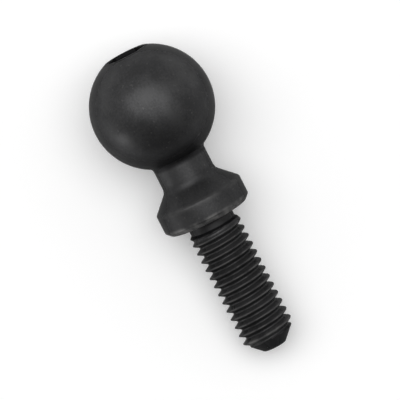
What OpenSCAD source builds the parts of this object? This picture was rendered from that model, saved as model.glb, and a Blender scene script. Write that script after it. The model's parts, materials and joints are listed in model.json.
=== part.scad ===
// Threaded ball stud, turned from one bar and broached for a hex key, in millimetres with +Z up.
// It lies as it comes to rest on a level surface at z = 0: on its ball and its thread, with the tip towards +X.
// Places along the stud are counted from the ball's centre towards the thread's tip.

/* [Ball] */
// Diameter of the ball
ball_d = 6.8; // [5.8:0.1:9]

/* [Hex socket] */
// Width across the socket's flats
socket_af = 2; // [1.3:0.1:2.5]
// Depth of the six walls below the flat on the ball's pole
socket_depth = 2.2; // [1:0.1:2.8]
// How far the countersunk mouth stands outside the hexagon's flats, where its corners still reach past it
mouth_lip = 0.05; // [0.02:0.01:0.1]
// Included angle of the countersunk mouth
mouth_angle = 90; // [60:5:120]
// Width of the flat ring on the pole, outside the hexagon's corners
pole_land = 0.08; // [0.03:0.01:0.4]
// Step between the walls and the drill point under them
drill_step = 0.06; // [0.02:0.01:0.2]
// Included angle of the drill point
drill_angle = 118; // [90:2:140]

/* [Neck] */
// Diameter of the neck
neck_d = 3.05; // [2.4:0.05:4]
// Length of the neck's straight stretch
neck_l = 1; // [0.4:0.05:3]
// Radius of the blend from the ball into the neck
ball_blend_r = 0.3; // [0.1:0.05:0.6]
// Radius of the blend from the neck into the collar's cone
cone_blend_r = 0.6; // [0.1:0.05:1]

/* [Collar] */
// Diameter of the collar
collar_d = 5; // [4.4:0.1:6.4]
// Length of the collar's rim, from its cone to its seat
rim_l = 1.3; // [0.8:0.05:4]
// Angle between the collar's cone and the stud's axis
cone_angle = 45; // [25:1:65]
// Radius that eases the edge between cone and rim
rim_r = 0.2; // [0.05:0.05:0.4]
// Chamfer around the seat
seat_chamfer = 0.25; // [0.05:0.05:0.4]

/* [Thread] */
// Outside diameter of the thread
thread_d = 3; // [2:0.5:4]
// Length from the seat to the tip
thread_l = 7.9; // [4:0.1:20]
// Depth of the relief under the seat, where the thread runs out
relief_depth = 0.2; // [0.05:0.01:0.3]
// Length of the relief's floor, from the seat
relief_l = 0.5; // [0.3:0.05:1]
// Angle between the relief's far side and the stud's axis
relief_angle = 45; // [30:1:60]
// Radius between the seat and the relief's floor (above relief_depth, the seat starts outside the thread)
root_r = 0.25; // [0.05:0.01:0.28]
// Diameter of the flat at the tip
tip_d = 1.3; // [0.8:0.1:1.8]
// Angle between the tip's chamfer and the stud's axis
tip_angle = 45; // [30:1:60]

/* [Rest] */
// Turn of the lying stud about its own axis (near 30 one flat of the socket faces down)
lie_turn = 30.5; // [0:0.5:60]

/* [Hidden] */
$fn = 96;

// Straight steps in each small blend
arc_steps = 8;
// How far the neck's blend bites into the ball, so that the two meet in one clean edge
blend_bite = 0.002;
// How far a cut starts outside the surface that it enters
cut_lead = 0.5;
black_oxide = [0.16, 0.16, 0.17];

// Radii
ball_r = ball_d / 2;
neck_r = neck_d / 2;
collar_r = collar_d / 2;
thread_r = thread_d / 2;
relief_r = thread_r - relief_depth;
tip_r = tip_d / 2;

// Socket and pole flat, outwards from the hexagon
socket_corner_r = socket_af / 2 / cos(30);
drill_r = socket_af / 2 - drill_step;
mouth_r = socket_af / 2 + mouth_lip;
pole_r = socket_corner_r + pole_land;
pole_s = sqrt(ball_r ^ 2 - pole_r ^ 2);

// Places along the stud, in order from the ball to the tip
ball_blend_reach = ball_r + ball_blend_r - blend_bite;
neck_start_s = sqrt(ball_blend_reach ^ 2 - (neck_r + ball_blend_r) ^ 2);
neck_end_s = neck_start_s + neck_l;
cone_start_s = neck_end_s + cone_blend_r * tan(cone_angle / 2);
rim_start_s = cone_start_s + (collar_r - neck_r) / tan(cone_angle);
seat_s = rim_start_s + rim_l;
relief_end_s = seat_s + relief_l;
thread_start_s = relief_end_s + relief_depth / tan(relief_angle);
tip_s = seat_s + thread_l;
tip_chamfer_s = tip_s - (thread_r - tip_r) / tan(tip_angle);

// Centres of the blends, as [radius, place]
ball_blend_c = [neck_r + ball_blend_r, neck_start_s];
cone_blend_c = [neck_r + cone_blend_r, neck_end_s];
rim_c = [collar_r - rim_r, rim_start_s + rim_r * tan(cone_angle / 2)];
root_c = [relief_r + root_r, seat_s + root_r];

// Circles around the axis that can touch the surface or reach furthest along it, as [radius, place]
OUTER_CIRCLES = [
    [collar_r, rim_c.y],
    [collar_r, seat_s - seat_chamfer],
    [thread_r, tip_chamfer_s],
    [tip_r, tip_s],
];

// Slope of the axis at which a circle touches the surface that the ball rests on
function touch_slope(c) = asin(ball_r / norm(c)) - atan2(c.x, c.y);
rest_slope = min([for (c = OUTER_CIRCLES) touch_slope(c)]);

// Level distance from the ball's centre to the far side of a circle
function reach(c) = c.y * cos(rest_slope) + c.x * abs(sin(rest_slope));
tip_reach = max([for (c = OUTER_CIRCLES) reach(c)]);
pole_reach = reach([pole_r, pole_s]);

// Points of a small arc, as [radius, place]
function arc(c, r, from, to) = [
    for (i = [0:arc_steps])
        let (a = from + (to - from) * i / arc_steps)
        c + r * [cos(a), sin(a)]
];

// Half section of neck, collar and thread, which starts inside the ball
module shank_profile() {
    ball_side = 180 + atan2(ball_blend_c.y, ball_blend_c.x);
    polygon(concat(
        [[0, 0]],
        arc(ball_blend_c, ball_blend_r, ball_side, 180),
        arc(cone_blend_c, cone_blend_r, 180, 180 - cone_angle),
        arc(rim_c, rim_r, -cone_angle, 0),
        [[collar_r, seat_s - seat_chamfer], [collar_r - seat_chamfer, seat_s]],
        arc(root_c, root_r, 270, 180),
        [[relief_r, relief_end_s], [thread_r, thread_start_s]],
        [[thread_r, tip_chamfer_s], [tip_r, tip_s], [0, tip_s]]
    ));
}

// Half section of the ball, faced off at its pole
module ball_profile() {
    intersection() {
        circle(ball_r);
        translate([0, -pole_s])
            square([ball_r, pole_s + ball_r]);
    }
}

// Broached hexagon with its lightly countersunk mouth and the drill point below it
module hex_socket() {
    mouth_slope = tan(mouth_angle / 2);
    translate([0, 0, -pole_s]) {
        translate([0, 0, -cut_lead])
            cylinder(r = socket_corner_r, h = cut_lead + socket_depth, $fn = 6);
        translate([0, 0, -cut_lead])
            cylinder(r1 = mouth_r + cut_lead * mouth_slope, r2 = 0, h = cut_lead + mouth_r / mouth_slope);
        translate([0, 0, socket_depth])
            cylinder(r1 = drill_r, r2 = 0, h = drill_r / tan(drill_angle / 2));
    }
}

// Lays the upright stud down on the surface, with the middle of its length over the origin
module at_rest() {
    translate([(pole_reach - tip_reach) / 2, 0, ball_r])
        rotate([0, 90 + rest_slope, 0])
            rotate(lie_turn)
                children();
}

module ball_stud() {
    color(black_oxide)
        at_rest()
            difference() {
                rotate_extrude() {
                    ball_profile();
                    shank_profile();
                }
                hex_socket();
            }
}

ball_stud();
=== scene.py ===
"""Threaded ball stud in black oxide steel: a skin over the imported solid, with its thread cut in."""
import json
import math

import bpy
from mathutils import Matrix, Vector


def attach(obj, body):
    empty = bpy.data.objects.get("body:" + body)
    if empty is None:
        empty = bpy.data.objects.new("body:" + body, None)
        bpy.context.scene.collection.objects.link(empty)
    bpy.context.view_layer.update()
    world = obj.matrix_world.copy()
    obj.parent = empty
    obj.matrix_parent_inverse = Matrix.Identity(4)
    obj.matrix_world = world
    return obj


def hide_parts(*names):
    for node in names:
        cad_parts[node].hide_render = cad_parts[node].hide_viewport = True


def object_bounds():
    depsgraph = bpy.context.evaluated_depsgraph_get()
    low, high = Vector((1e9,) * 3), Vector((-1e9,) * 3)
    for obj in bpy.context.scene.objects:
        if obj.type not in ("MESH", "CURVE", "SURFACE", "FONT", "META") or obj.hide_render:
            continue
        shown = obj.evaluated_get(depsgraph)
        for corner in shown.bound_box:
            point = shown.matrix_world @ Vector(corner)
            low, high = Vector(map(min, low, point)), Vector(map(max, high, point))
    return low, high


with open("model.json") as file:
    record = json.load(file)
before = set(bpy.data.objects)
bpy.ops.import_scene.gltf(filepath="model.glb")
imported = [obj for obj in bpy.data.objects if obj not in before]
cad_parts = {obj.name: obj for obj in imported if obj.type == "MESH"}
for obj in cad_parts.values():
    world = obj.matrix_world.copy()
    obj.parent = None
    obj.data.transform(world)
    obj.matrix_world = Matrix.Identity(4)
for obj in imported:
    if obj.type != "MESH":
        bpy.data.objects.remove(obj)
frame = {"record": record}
cad_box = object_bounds()

# Units and fineness
MM = 0.001
SIDES = 144
THREAD_ROWS = 16
ARC_STEP = math.radians(6)
BALL_STEP = math.radians(2.5)
STRAIGHT_STEP = 0.15 * MM
SLIVER_SHARE = 0.2
SHARP_ANGLE = math.radians(40)
DRILL_RINGS = (0.3, 0.65, 0.97, 1)
WALL_RINGS = (0, 0.25, 0.5, 0.75, 1)
TIP_RINGS = (0.7, 0.4, 0.15)

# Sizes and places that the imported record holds, counted from the ball's centre towards the tip
mounts = {mount["name"]: mount for mount in frame["record"]["mounts"]}
BALL_CENTRE = Vector(mounts["ball"]["pos_m"])
AXIS = Vector(mounts["seat"]["axis"]).normalized()


def place(name):
    """Place of a mount along the stud."""
    return (Vector(mounts[name]["pos_m"]) - BALL_CENTRE).dot(AXIS)


def size(name, dimension):
    """Size of a mount in metres."""
    return mounts[name]["dims"][dimension] * MM


BALL_R = size("ball", "r_mm")
THREAD_R = size("thread", "r_mm")
POLE_S = place("hex_socket")
FLOOR_S = POLE_S + size("hex_socket", "length_mm")
SEAT_S = place("seat")
THREAD_START_S = place("thread") - size("thread", "length_mm") / 2
TIP_CHAMFER_S = place("thread") + size("thread", "length_mm") / 2

# Sizes that the record doesn't hold
HEX_STEP = math.radians(60)
SOCKET_APOTHEM = 1 * MM
DRILL_R = 0.94 * MM
DRILL_HALF_ANGLE = math.radians(59)
MOUTH_LIP = 0.05 * MM
NECK_R = 1.525 * MM
NECK_L = 1 * MM
BALL_BLEND_R = 0.3 * MM
CONE_BLEND_R = 0.6 * MM
COLLAR_R = 2.5 * MM
CONE_ANGLE = math.radians(45)
RIM_R = 0.2 * MM
SEAT_CHAMFER = 0.25 * MM
RELIEF_DEPTH = 0.2 * MM
RELIEF_ROOT_R = 0.25 * MM
TIP_R = 0.65 * MM
LIE_TURN = math.radians(30.5)

# Thread: metric coarse, right-hand, with rounded roots, and with shares of the pitch
PITCH = 0.5 * MM
FIRST_CREST = 7 / 16
CREST_SHARE = 1 / 8
FLANK_SHARE = 3 / 4
CREST_EASE = 0.014 * MM
FLANK_DEPTH = 0.2706 * MM
THREAD_DEPTH = 0.307 * MM
RUN_OUT_FROM = 0.35 * MM
RUN_OUT_L = 0.9 * MM
END_BLEND = 0.03 * MM
END_MARGIN = 0.08 * MM

# Small radii on the edges, left by the last cut and the finish
MOUTH_BREAK = 0.015 * MM
POLE_EDGE_R = 0.06 * MM
SEAT_EDGE_R = 0.12 * MM
TIP_EDGE_R = 0.08 * MM

# Wear on the edges, with painted glints on the seat and the thread's end, and painted shade in the
# recesses, on the ball by the neck and on the tip, from 0 to 1
POLE_WEAR = 0.15
RIM_WEAR = 0.2
SEAT_WEAR_AND_GLINT = 1.0
CREST_WEAR = 0.6
THREAD_END_WEAR_AND_GLINT = 1.0
TIP_WEAR = 0.2
SOCKET_PAINTED_SHADE = 1.0
POLE_PAINTED_SHADE = 0.95
BALL_PAINTED_SHADE = 0.75
CONE_PAINTED_SHADE = 0.3
RIM_PAINTED_SHADE = 0.22
RELIEF_PAINTED_SHADE = 0.5
THREAD_PAINTED_SHADE = 0.1
CHAMFER_PAINTED_SHADE = 1.0
TIP_PAINTED_SHADE = 0.55

# Reach of the wear and painted glint on the thread's end and of the wear on its crests, and where the
# ball's painted shade starts, from its pole
THREAD_END_L = 0.8 * MM
CREST_WEAR_DEPTH = 0.042 * MM
BALL_PAINTED_SHADE_FROM = math.radians(95)

# Worked-out places, where the mouth, the relief's far side and the tip's chamfer slope at 45 degrees
MOUTH_R = SOCKET_APOTHEM + MOUTH_LIP
POLE_R = math.sqrt(BALL_R**2 - POLE_S**2)
NECK_START_S = math.sqrt((BALL_R + BALL_BLEND_R) ** 2 - (NECK_R + BALL_BLEND_R) ** 2)
NECK_END_S = NECK_START_S + NECK_L
CONE_START_S = NECK_END_S + CONE_BLEND_R * math.tan(CONE_ANGLE / 2)
RIM_START_S = CONE_START_S + (COLLAR_R - NECK_R) / math.tan(CONE_ANGLE)
RELIEF_R = THREAD_R - RELIEF_DEPTH
RELIEF_END_S = THREAD_START_S - RELIEF_DEPTH
TIP_S = TIP_CHAMFER_S + THREAD_R - TIP_R
THREAD_END_R = THREAD_R - THREAD_DEPTH - END_MARGIN
THREAD_END_S = TIP_S - (THREAD_END_R - TIP_R)

# Finish: its colours
OXIDE_DARK = (0.042, 0.042, 0.043, 1)
OXIDE_LIGHT = (0.063, 0.063, 0.064, 1)
# Worn steel, also used for the painted glints on the seat and the thread's end
WORN_STEEL_AND_GLINT = (0.13, 0.128, 0.126, 1)
# Painted shade: the near-black colour that the socket, the pole's flat, the ball by the neck, the collar,
# the thread and the tip are darkened towards
PAINTED_SHADE_COLOUR = (0.012, 0.012, 0.013, 1)
EDGE_TINT = (0.05, 0.05, 0.05, 1)

# Finish: its textures, each as a scale per metre and a detail, and the ranges that shape three of them
CLOUDS = (700, 5)
PATCHES = (1600, 4)
SPECKS = (5200, 2)
GRAIN = (9000, 3)
TURNING_MARKS = (14000, 2)
MOTTLE_RANGE = (0.36, 0.64)
PATCH_RANGE = (0.34, 0.6)
SPECK_RANGE = (0.66, 0.74)

# Finish: how much each texture and attribute counts, and the gloss
GRAIN_SHARE = 0.35
GRAIN_BUMP_SHARE = 0.5
WORN_SHARE = 0.9
SPECK_SHARE = 0.3
# How far full painted shade darkens the colour
PAINTED_SHADE_SHARE = 0.85
METAL_SHARE = 0.65
GLOSS_LEVEL = 0.2
ROUGHNESS = 0.3
CLOUD_ROUGHNESS = 0.16
PAINTED_SHADE_ROUGHNESS = 0.12
BUMP_STRENGTH = 0.35
BUMP_HEIGHT = 0.004 * MM

# Camera
VIEW_TURN = math.radians(62.8)
VIEW_DISTANCE = 0.4
VIEW_HEIGHT = 21.5 * MM
CLIP_START = 0.004
SENSOR = 36
IMAGE_RIGHT = Vector((math.cos(VIEW_TURN), math.sin(VIEW_TURN), 0))
IMAGE_UP = Vector((-math.sin(VIEW_TURN), math.cos(VIEW_TURN), 0))

# Floor and light, with turns from the right of the picture and leans from straight up
FLOOR_SIZE = 6
FLOOR_WHITE = (0.93, 0.93, 0.93, 1)
FLOOR_LIFT = 0.125
LAMP_DISTANCE = 0.6
KEY_TURN = math.radians(130)
KEY_LEAN = math.radians(11)
KEY_SIZE = (1.05, 0.62)
KEY_RADIANCE = 1.9
FILL_TURN = math.radians(228)
FILL_LEAN = math.radians(87)
FILL_SIZE = (0.12, 0.12)
FILL_RADIANCE = 12
DARK_TURN = math.radians(-84)
DARK_FROM = 0.05
DARK_TO = 0.72
SKY_BRIGHT = 0.68
SKY_DARK = 0.0
HORIZON_BRIGHT = 1.0
HORIZON_FROM = 0.02
HORIZON_TO = 0.1


class Skin:
    """A closed skin of rings around the stud's axis, with three values at each of its points."""

    def __init__(self):
        self.points = []
        self.faces = []
        self.path = []
        self.wear_and_glint = []
        self.painted_shade = []

    def point(self, r, s, j, path, wear_and_glint=0.0, painted_shade=0.0):
        """Adds one point at radius r and place s, on side j, and gives its number."""
        turn = 2 * math.pi * j / SIDES
        self.points.append((r * math.cos(turn), r * math.sin(turn), s))
        self.path.append(path)
        self.wear_and_glint.append(wear_and_glint)
        self.painted_shade.append(painted_shade)
        return len(self.points) - 1

    def ring(self, spots, path, wear_and_glint=0.0, painted_shade=0.0):
        """Adds a ring from one (radius, place) pair for each side."""
        return [self.point(r, s, j, path, wear_and_glint, painted_shade) for j, (r, s) in enumerate(spots)]

    def face(self, *corners):
        """Adds a face, without the corners that repeat."""
        kept = [c for i, c in enumerate(corners) if c != corners[i - 1]]
        if len(kept) > 2:
            self.faces.append(kept)

    def join(self, ring, following):
        """Joins two rings by a band of faces."""
        for j in range(SIDES):
            k = (j + 1) % SIDES
            self.face(ring[j], ring[k], following[k], following[j])

    def close(self, ring, centre, onward):
        """Closes a ring to a centre point, facing onwards to the tip or back to the pole."""
        for j in range(SIDES):
            k = (j + 1) % SIDES
            first, second = (j, k) if onward else (k, j)
            self.face(ring[first], ring[second], centre)


def round_ring(r, s):
    """The spots of a round ring."""
    return [(r, s)] * SIDES


def hexagon_r(j):
    """Distance from the axis to the socket's wall, on side j."""
    turn = 2 * math.pi * j / SIDES
    return SOCKET_APOTHEM / math.cos(turn % HEX_STEP - HEX_STEP / 2)


def arc(centre, radius, start, end, step=ARC_STEP):
    """Spots along an arc in the half section, as (radius, place)."""
    count = max(2, math.ceil(abs(end - start) / step))
    angles = [start + (end - start) * i / count for i in range(count + 1)]
    return [(centre[0] + radius * math.cos(a), centre[1] + radius * math.sin(a)) for a in angles]


def eased(before, corner, after, radius):
    """Spots of the small arc that rounds a corner between two straight stretches."""
    before, corner, after = Vector(before), Vector(corner), Vector(after)
    inward = (before - corner).normalized()
    onward = (after - corner).normalized()
    half = inward.angle(onward) / 2
    reach = radius / math.tan(half)
    centre = corner + (inward + onward).normalized() * radius / math.sin(half)
    first = corner + inward * reach - centre
    last = corner + onward * reach - centre
    start = math.atan2(first.y, first.x)
    swing = (math.atan2(last.y, last.x) - start + math.pi) % (2 * math.pi) - math.pi
    return arc(centre, radius, start, start + swing)


def stretch(start, end):
    """Spots between two spots, without either, a short step apart."""
    start, end = Vector(start), Vector(end)
    count = max(1, math.ceil((end - start).length / STRAIGHT_STEP))
    return [tuple(start.lerp(end, i / count)) for i in range(1, count)]


def ball_spot(angle):
    """A spot on the ball, at an angle from its pole."""
    return (BALL_R * math.sin(angle), -BALL_R * math.cos(angle))


def outer_section():
    """Half section from the pole's flat to the relief's end, as (radius, place, wear with painted glints,
    painted shade).
    """
    spots = []

    def add(new_spots, wear_and_glint=0.0, painted_shade=0.0):
        spots.extend((r, s, wear_and_glint, painted_shade) for r, s in new_spots)

    pole_angle = math.asin(POLE_R / BALL_R)
    # The pole's flat: a little wear, and nearly full painted shade so that it reads black
    pole_edge = eased((0, POLE_S), (POLE_R, POLE_S), ball_spot(pole_angle + BALL_STEP), POLE_EDGE_R)
    add(pole_edge, POLE_WEAR, POLE_PAINTED_SHADE)

    blend_centre = (NECK_R + BALL_BLEND_R, NECK_START_S)
    ball_end = math.pi / 2 + math.atan2(blend_centre[1], blend_centre[0])
    count = math.ceil((ball_end - pole_angle) / BALL_STEP)
    # Painted shade: the ball darkens smoothly towards the neck, from an angle off its pole on, and stays
    # dark over the blend
    for i in range(1, count):
        angle = pole_angle + (ball_end - pole_angle) * i / count
        shade = smooth_step((angle - BALL_PAINTED_SHADE_FROM) / (ball_end - BALL_PAINTED_SHADE_FROM))
        add([ball_spot(angle)], painted_shade=BALL_PAINTED_SHADE * shade)
    add(arc(blend_centre, BALL_BLEND_R, ball_end + math.pi / 2, math.pi), painted_shade=BALL_PAINTED_SHADE)

    cone_blend_centre = (NECK_R + CONE_BLEND_R, NECK_END_S)
    add(stretch((NECK_R, NECK_START_S), (NECK_R, NECK_END_S)))
    # Painted shade darkens the cone's blend and the cone
    add(arc(cone_blend_centre, CONE_BLEND_R, math.pi, math.pi - CONE_ANGLE), painted_shade=CONE_PAINTED_SHADE)

    rim_centre = (COLLAR_R - RIM_R, RIM_START_S + RIM_R * math.tan(CONE_ANGLE / 2))
    rim_arc = arc(rim_centre, RIM_R, -CONE_ANGLE, 0)
    add(stretch(spots[-1][:2], rim_arc[0]), painted_shade=CONE_PAINTED_SHADE)
    # Wear and painted shade on the rim
    add(rim_arc, RIM_WEAR, RIM_PAINTED_SHADE)

    rim_edge = (COLLAR_R, SEAT_S - SEAT_CHAMFER)
    seat_edge = (COLLAR_R - SEAT_CHAMFER, SEAT_S)
    rim_ease = eased(rim_arc[-1], rim_edge, seat_edge, SEAT_EDGE_R)
    add(stretch(rim_arc[-1], rim_ease[0]), painted_shade=RIM_PAINTED_SHADE)
    # Wear with a painted glint on the seat's edges
    add(rim_ease, SEAT_WEAR_AND_GLINT)
    add(eased(rim_edge, seat_edge, (RELIEF_R, SEAT_S), SEAT_EDGE_R), SEAT_WEAR_AND_GLINT)

    root_centre = (RELIEF_R + RELIEF_ROOT_R, SEAT_S + RELIEF_ROOT_R)
    root_arc = arc(root_centre, RELIEF_ROOT_R, -math.pi / 2, -math.pi)
    relief_end = (RELIEF_R, RELIEF_END_S)
    add(stretch(spots[-1][:2], root_arc[0]))
    # Painted shade in the relief
    add(root_arc + stretch(root_arc[-1], relief_end) + [relief_end], painted_shade=RELIEF_PAINTED_SHADE)
    return spots


def add_socket(skin):
    """The drill point, the hexagon and its mouth. Gives the ring where the mouth meets the pole's flat."""
    drill_slope = 1 / math.tan(DRILL_HALF_ANGLE)
    tip_s = FLOOR_S + DRILL_R * drill_slope
    # Painted shade darkens the drill point, the hexagon's walls and its mouth
    tip = skin.point(0, tip_s, 0, tip_s, painted_shade=SOCKET_PAINTED_SHADE)
    rings = []
    for share in DRILL_RINGS:
        r = DRILL_R * share
        s = FLOOR_S + (DRILL_R - r) * drill_slope
        rings.append(skin.ring(round_ring(r, s), s, painted_shade=SOCKET_PAINTED_SHADE))

    walls = [hexagon_r(j) for j in range(SIDES)]
    tops = [POLE_S + max(MOUTH_R - r, 0) + MOUTH_BREAK for r in walls]
    for share in WALL_RINGS:
        spots = [(r, FLOOR_S + (top - FLOOR_S) * share) for r, top in zip(walls, tops)]
        rings.append(skin.ring(spots, spots[0][1], painted_shade=SOCKET_PAINTED_SHADE))
    mouth = [(max(r, MOUTH_R) + MOUTH_BREAK, POLE_S) for r in walls]
    rings.append(skin.ring(mouth, POLE_S, painted_shade=POLE_PAINTED_SHADE))

    skin.close(rings[0], tip, onward=False)
    for ring, following in zip(rings, rings[1:]):
        skin.join(ring, following)
    return rings[-1]


def add_outside(skin, ring):
    """The surfaces from the flat on the pole to the thread. Gives the last ring and its path."""
    path = POLE_S
    last = (MOUTH_R, POLE_S)
    for r, s, wear_and_glint, painted_shade in outer_section():
        path += math.dist((r, s), last)
        following = skin.ring(round_ring(r, s), path, wear_and_glint, painted_shade)
        skin.join(ring, following)
        ring, last = following, (r, s)
    return ring, path


def smooth_step(x):
    """Rises smoothly from 0 to 1 as x does."""
    x = min(max(x, 0.0), 1.0)
    return x * x * (3 - 2 * x)


def soft_max(a, b, blend):
    """The larger of two values, rounded where they are nearly alike."""
    overlap = max(blend - abs(a - b), 0.0)
    return max(a, b) + overlap**2 / (4 * blend)


def groove_depth(turns):
    """Depth of the thread's groove, where turns counts pitches from the middle of a crest."""
    share = 2 * abs(turns - round(turns))
    if share <= CREST_SHARE:
        return CREST_EASE * (share / CREST_SHARE) ** 2
    if share <= FLANK_SHARE:
        down = (share - CREST_SHARE) / (FLANK_SHARE - CREST_SHARE)
        return CREST_EASE + (FLANK_DEPTH - CREST_EASE) * down
    from_root = (1 - share) / (1 - FLANK_SHARE)
    return THREAD_DEPTH - (THREAD_DEPTH - FLANK_DEPTH) * from_root**2


def thread_spot(s, turns):
    """Radius, wear with a painted glint near the end, and painted shade on the thread, where turns counts
    pitches from the middle of a crest.
    """
    fade = smooth_step((s - SEAT_S - RUN_OUT_FROM) / RUN_OUT_L)
    depth = fade * groove_depth(turns)
    end_depth = max(THREAD_START_S - s, s - TIP_CHAMFER_S)
    r = THREAD_R - soft_max(depth, end_depth, END_BLEND)
    # The chamfer gets full painted shade
    if end_depth > depth:
        return r, 0.0, CHAMFER_PAINTED_SHADE
    depth_share = depth / THREAD_DEPTH
    crest = fade * (1 - min(depth / CREST_WEAR_DEPTH, 1))
    # Wear on the crests, and wear with a painted glint over the thread's last stretch
    end = smooth_step(1 - (TIP_CHAMFER_S - s) / THREAD_END_L)
    wear_and_glint = max(CREST_WEAR * crest, THREAD_END_WEAR_AND_GLINT * end * (1 - depth_share))
    # Painted shade deepens from the crests to the roots
    return r, wear_and_glint, THREAD_PAINTED_SHADE * depth_share


def add_thread(skin, start_ring, path):
    """The helical thread, from the relief's end into the chamfer. Gives the last ring and its path."""
    end_path = path + THREAD_END_S - RELIEF_END_S
    end_ring = skin.ring(round_ring(THREAD_END_R, THREAD_END_S), end_path, painted_shade=CHAMFER_PAINTED_SHADE)
    row_step = PITCH / THREAD_ROWS
    sliver = SLIVER_SHARE * row_step
    numbers = {}

    def number(i, j):
        """Number of the point in row i on side j, where a row climbs one pitch in a turn."""
        i, j = i + THREAD_ROWS * (j // SIDES), j % SIDES
        s = RELIEF_END_S + row_step * i + PITCH * j / SIDES
        if s < RELIEF_END_S + sliver:
            return start_ring[j]
        if s > THREAD_END_S - sliver:
            return end_ring[j]
        if (i, j) not in numbers:
            r, wear_and_glint, painted_shade = thread_spot(s, i / THREAD_ROWS - FIRST_CREST)
            numbers[i, j] = skin.point(r, s, j, path + s - RELIEF_END_S, wear_and_glint, painted_shade)
        return numbers[i, j]

    rows = math.ceil((THREAD_END_S - RELIEF_END_S) / row_step)
    for i in range(-THREAD_ROWS, rows):
        for j in range(SIDES):
            skin.face(number(i, j), number(i, j + 1), number(i + 1, j + 1), number(i + 1, j))
    return end_ring, end_path


def add_tip(skin, ring, path):
    """The end of the chamfer, its eased edge and the flat at the tip."""
    last = (THREAD_END_R, THREAD_END_S)
    edge = eased(last, (TIP_R, TIP_S), (0, TIP_S), TIP_EDGE_R)
    # Painted shade on the chamfer, its edge and the tip's flat
    spots = [(r, s, 0.0, CHAMFER_PAINTED_SHADE) for r, s in stretch(last, edge[0])]
    spots += [(r, s, TIP_WEAR, TIP_PAINTED_SHADE) for r, s in edge]
    spots += [(TIP_R * share, TIP_S, 0.0, TIP_PAINTED_SHADE) for share in TIP_RINGS]
    for r, s, wear_and_glint, painted_shade in spots:
        path += math.dist((r, s), last)
        following = skin.ring(round_ring(r, s), path, wear_and_glint, painted_shade)
        skin.join(ring, following)
        ring, last = following, (r, s)
    centre = skin.point(0, TIP_S, 0, path + last[0], painted_shade=TIP_PAINTED_SHADE)
    skin.close(ring, centre, onward=True)


def stud_matrix():
    """Takes the stud's own frame, with its axis along Z, to where it lies."""
    slope = math.atan2(AXIS.x, AXIS.z)
    return (
        Matrix.Translation(BALL_CENTRE)
        @ Matrix.Rotation(slope, 4, "Y")
        @ Matrix.Rotation(LIE_TURN, 4, "Z")
    )


def make_stud():
    """The whole stud as one closed mesh in the row frame."""
    skin = Skin()
    ring = add_socket(skin)
    ring, path = add_outside(skin, ring)
    ring, path = add_thread(skin, ring, path)
    add_tip(skin, ring, path)

    mesh = bpy.data.meshes.new("ball_stud_skin")
    mesh.from_pydata(skin.points, [], skin.faces)
    mesh.transform(stud_matrix())
    for name, values in (("path", skin.path), ("wear_and_glint", skin.wear_and_glint), ("painted_shade", skin.painted_shade)):
        mesh.attributes.new(name, "FLOAT", "POINT").data.foreach_set("value", values)
    mesh.shade_smooth()
    mesh.set_sharp_from_angle(angle=SHARP_ANGLE)
    mesh.validate()
    stud = bpy.data.objects.new("ball_stud_skin", mesh)
    bpy.context.collection.objects.link(stud)
    return stud


class Nodes:
    """Short forms for building a node tree."""

    def __init__(self, tree):
        self.tree = tree
        self.tree.nodes.clear()

    def add(self, kind, settings=None, **inputs):
        """Adds a node, sets its settings, and fills its inputs with values or links."""
        node = self.tree.nodes.new(kind)
        for name, value in (settings or {}).items():
            setattr(node, name, value)
        for name, value in inputs.items():
            self.fill(node.inputs[name.replace("_", " ")], value)
        return node

    def fill(self, socket, value):
        """Links an output to a socket, or sets the socket's value."""
        if isinstance(value, bpy.types.NodeSocket):
            self.tree.links.new(value, socket)
        else:
            socket.default_value = value

    def math(self, operation, *values):
        """The result of a math node."""
        node = self.tree.nodes.new("ShaderNodeMath")
        node.operation = operation
        for socket, value in zip(node.inputs, values):
            self.fill(socket, value)
        return node.outputs[0]

    def mix(self, share, first, second):
        """A value between two, by share."""
        return self.add("ShaderNodeMix", Factor=share, A=first, B=second).outputs["Result"]

    def blend(self, share, first, second):
        """A colour between two, by share."""
        node = self.add("ShaderNodeMix", {"data_type": "RGBA"}, Factor=share, A=first, B=second)
        return node.outputs["Result"]

    def spread(self, value, low, high, start=0.0, end=1.0):
        """Goes smoothly from start to end as a value goes from low to high."""
        node = self.add(
            "ShaderNodeMapRange",
            {"interpolation_type": "SMOOTHSTEP"},
            Value=value,
            From_Min=low,
            From_Max=high,
            To_Min=start,
            To_Max=end,
        )
        return node.outputs["Result"]

    def value(self, name):
        """A value kept at the mesh's points."""
        return self.add("ShaderNodeAttribute", {"attribute_name": name}).outputs["Fac"]

    def seen(self):
        """1 where the camera sees a surface, also in a gloss or through glass, and 0 elsewhere."""
        rays = self.add("ShaderNodeLightPath").outputs
        through = self.math("MAXIMUM", rays["Is Glossy Ray"], rays["Is Transmission Ray"])
        return self.math("MAXIMUM", rays["Is Camera Ray"], through)


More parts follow.
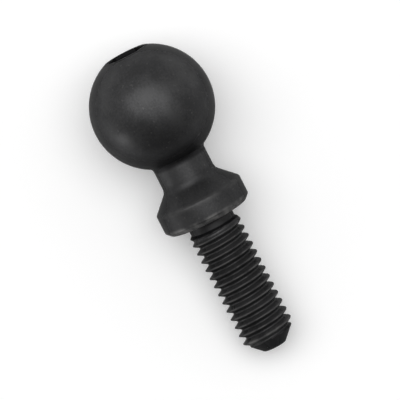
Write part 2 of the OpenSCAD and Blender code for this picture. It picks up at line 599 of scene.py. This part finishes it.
def black_oxide():
    """Satin black oxide on turned steel: mottled, with turning marks, worn edges with painted glints on
    the seat and the thread's end, and painted shade in the recesses, on the ball by the neck, on the
    collar and on the tip.
    """
    material = bpy.data.materials.new("black_oxide_steel")
    material.use_nodes = True
    n = Nodes(material.node_tree)
    where = n.add("ShaderNodeTexCoord").outputs["Object"]
    path, wear_and_glint, painted_shade = n.value("path"), n.value("wear_and_glint"), n.value("painted_shade")

    def noise(texture, settings=None, **inputs):
        """Noise of one texture's scale and detail."""
        scale, detail = texture
        node = n.add("ShaderNodeTexNoise", settings, Scale=scale, Detail=detail, **inputs)
        return node.outputs["Fac"]

    clouds = noise(CLOUDS, Vector=where)
    patches = noise(PATCHES, Vector=where)
    specks = noise(SPECKS, Vector=where)
    grain = noise(GRAIN, Vector=where)
    marks = noise(TURNING_MARKS, {"noise_dimensions": "1D"}, W=path)

    mottle = n.spread(n.mix(GRAIN_SHARE, clouds, grain), *MOTTLE_RANGE)
    colour = n.blend(mottle, OXIDE_DARK, OXIDE_LIGHT)
    # Painted shade darkens the colour towards a near-black
    colour = n.blend(n.math("MULTIPLY", painted_shade, PAINTED_SHADE_SHARE), colour, PAINTED_SHADE_COLOUR)
    # Wear lightens the edges, with painted glints on the seat and the thread's end
    worn_edges_and_glints = n.math("MULTIPLY", wear_and_glint, n.spread(patches, *PATCH_RANGE, 0.0, WORN_SHARE))
    worn_specks = n.spread(specks, *SPECK_RANGE, 0.0, SPECK_SHARE)
    colour = n.blend(n.math("MAXIMUM", worn_edges_and_glints, worn_specks), colour, WORN_STEEL_AND_GLINT)

    roughness = n.math("MULTIPLY_ADD", clouds, CLOUD_ROUGHNESS, ROUGHNESS)
    roughness = n.math("MULTIPLY_ADD", painted_shade, PAINTED_SHADE_ROUGHNESS, roughness)
    height = n.mix(GRAIN_BUMP_SHARE, marks, grain)
    bump = n.add("ShaderNodeBump", Strength=BUMP_STRENGTH, Distance=BUMP_HEIGHT, Height=height)
    surface = n.add(
        "ShaderNodeBsdfPrincipled",
        Base_Color=colour,
        Roughness=roughness,
        Metallic=METAL_SHARE,
        Specular_IOR_Level=GLOSS_LEVEL,
        Specular_Tint=EDGE_TINT,
        Normal=bump.outputs["Normal"],
    )
    n.add("ShaderNodeOutputMaterial", Surface=surface.outputs["BSDF"])
    return material


def make_floor():
    """The pale floor that the stud lies on, lifted to white where it is seen."""
    mesh = bpy.data.meshes.new("floor")
    half = FLOOR_SIZE / 2
    corners = [(-half, -half, 0), (half, -half, 0), (half, half, 0), (-half, half, 0)]
    mesh.from_pydata(corners, [], [(0, 1, 2, 3)])
    floor = bpy.data.objects.new("floor", mesh)
    bpy.context.collection.objects.link(floor)
    material = bpy.data.materials.new("floor_white")
    material.use_nodes = True
    n = Nodes(material.node_tree)
    diffuse = n.add("ShaderNodeBsdfDiffuse", Color=FLOOR_WHITE)
    lift = n.add("ShaderNodeEmission", Strength=n.math("MULTIPLY", n.seen(), FLOOR_LIFT))
    surface = n.add("ShaderNodeAddShader")
    n.fill(surface.inputs[0], diffuse.outputs["BSDF"])
    n.fill(surface.inputs[1], lift.outputs["Emission"])
    n.add("ShaderNodeOutputMaterial", Surface=surface.outputs["Shader"])
    mesh.materials.append(material)


def toward(turn, lean=math.pi / 2):
    """A direction, turned from the right of the picture and leaning from straight up."""
    level = IMAGE_RIGHT * math.cos(turn) + IMAGE_UP * math.sin(turn)
    return level * math.sin(lean) + Vector((0, 0, math.cos(lean)))


def make_sky():
    """Pale studio surroundings, dark towards the bottom of the picture and white along the horizon."""
    world = bpy.data.worlds.new("studio")
    bpy.context.scene.world = world
    world.use_nodes = True
    n = Nodes(world.node_tree)
    direction = n.add("ShaderNodeTexCoord").outputs["Generated"]
    nearness = n.add("ShaderNodeVectorMath", {"operation": "DOT_PRODUCT"})
    n.fill(nearness.inputs[0], direction)
    n.fill(nearness.inputs[1], toward(DARK_TURN))
    sky = n.spread(nearness.outputs["Value"], DARK_FROM, DARK_TO, SKY_BRIGHT, SKY_DARK)
    height = n.add("ShaderNodeSeparateXYZ", Vector=direction).outputs["Z"]
    above = n.spread(height, HORIZON_FROM, HORIZON_TO)
    background = n.add("ShaderNodeBackground", Strength=n.mix(above, HORIZON_BRIGHT, sky))
    n.add("ShaderNodeOutputWorld", Surface=background.outputs["Background"])


def make_lamp(name, turn, lean, span, radiance):
    """A soft oval light that faces the stud, with its width and height given as in the picture."""
    width, height = span
    light = bpy.data.lights.new(name, "AREA")
    light.shape = "ELLIPSE"
    light.size = width
    light.size_y = height
    area = math.pi * width * height / 4
    light.energy = radiance * math.pi * area
    lamp = bpy.data.objects.new(name, light)
    bpy.context.collection.objects.link(lamp)
    away = toward(turn, lean)
    across = (IMAGE_RIGHT - away * IMAGE_RIGHT.dot(away)).normalized()
    facing = Matrix((across, away.cross(across), away)).transposed().to_4x4()
    lamp.matrix_world = Matrix.Translation(away * LAMP_DISTANCE) @ facing
    lamp.visible_camera = False


def make_camera():
    """Looks straight down, with the stud's tip towards the lower right of the picture."""
    data = bpy.data.cameras.new("camera")
    data.sensor_width = SENSOR
    data.lens = SENSOR * VIEW_DISTANCE / VIEW_HEIGHT
    data.clip_start = CLIP_START
    camera = bpy.data.objects.new("camera", data)
    bpy.context.collection.objects.link(camera)
    turn = Matrix((IMAGE_RIGHT, IMAGE_UP, Vector((0, 0, 1)))).transposed().to_4x4()
    centre = (cad_box[0] + cad_box[1]) / 2
    camera.matrix_world = Matrix.Translation(centre + Vector((0, 0, VIEW_DISTANCE))) @ turn
    bpy.context.scene.camera = camera


stud = make_stud()
stud.data.materials.append(black_oxide())
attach(stud, "root")
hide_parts("ball_stud")

make_floor()
make_sky()
make_lamp("key_light", KEY_TURN, KEY_LEAN, KEY_SIZE, KEY_RADIANCE)
make_lamp("fill_light", FILL_TURN, FILL_LEAN, FILL_SIZE, FILL_RADIANCE)
make_camera()
bpy.context.scene.view_settings.view_transform = "Standard"
